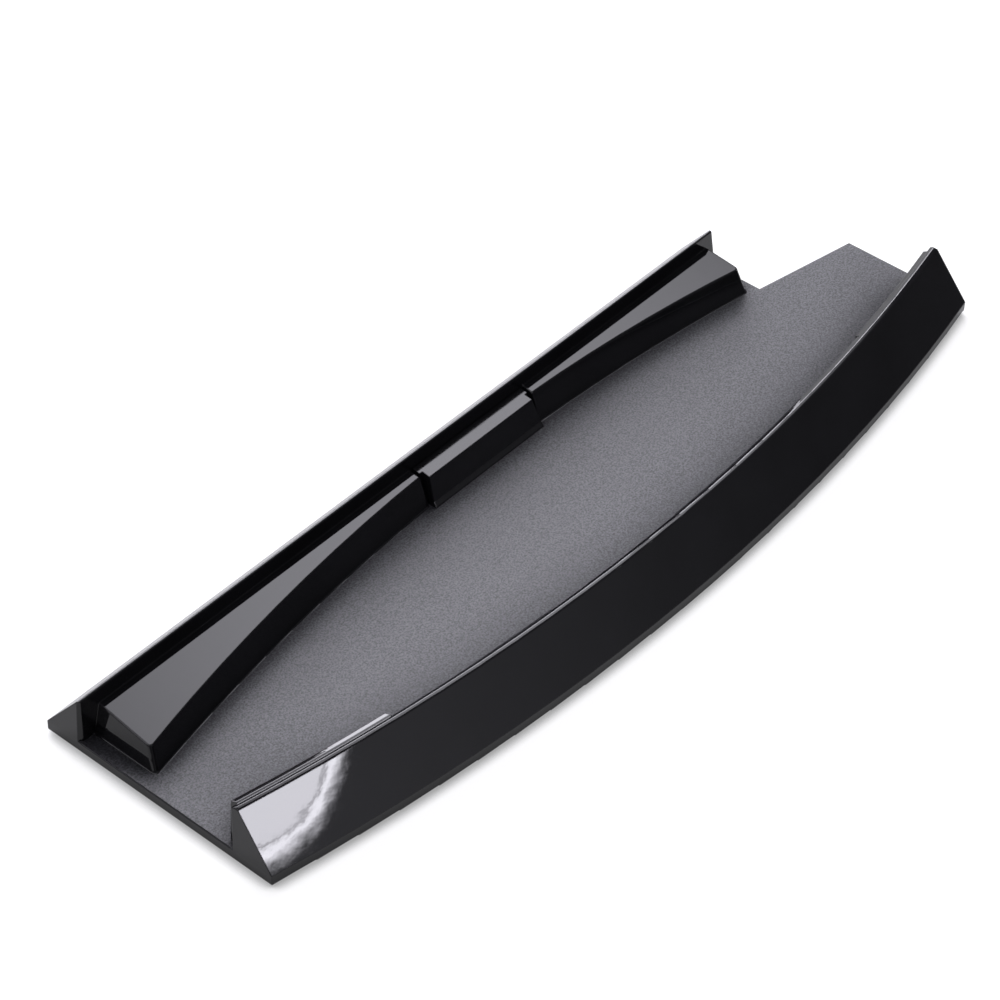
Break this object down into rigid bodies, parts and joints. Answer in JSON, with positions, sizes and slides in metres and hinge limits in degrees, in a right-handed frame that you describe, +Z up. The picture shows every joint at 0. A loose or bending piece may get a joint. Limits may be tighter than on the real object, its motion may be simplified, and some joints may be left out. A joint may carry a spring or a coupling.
{
  "type": "console vertical stand",
  "caption": "Low black plastic stand that holds a game console upright, with a bowed front wall, a straight back wall, curved side rests and a centre insert.",
  "frame": {"origin": "on the ground, under the middle of the overall outline", "axes": "+X along the length towards the notched end, +Y from the bowed front wall to the straight back wall, +Z up"},
  "size_m": [0.23, 0.0723, 0.0152],
  "materials": {
    "base_plastic": "high-gloss black moulding, fine-grained satin on the plate's top",
    "insert_plastic": "smooth black moulding",
    "pad_rubber": "matt black rubber"
  },
  "bodies": {
    "root": {"base": "base_plastic", "centre_insert": "insert_plastic", "foot_pad_front_left": "pad_rubber", "foot_pad_front_right": "pad_rubber", "foot_pad_back_left": "pad_rubber", "foot_pad_back_right": "pad_rubber"}
  },
  "joints": []
}
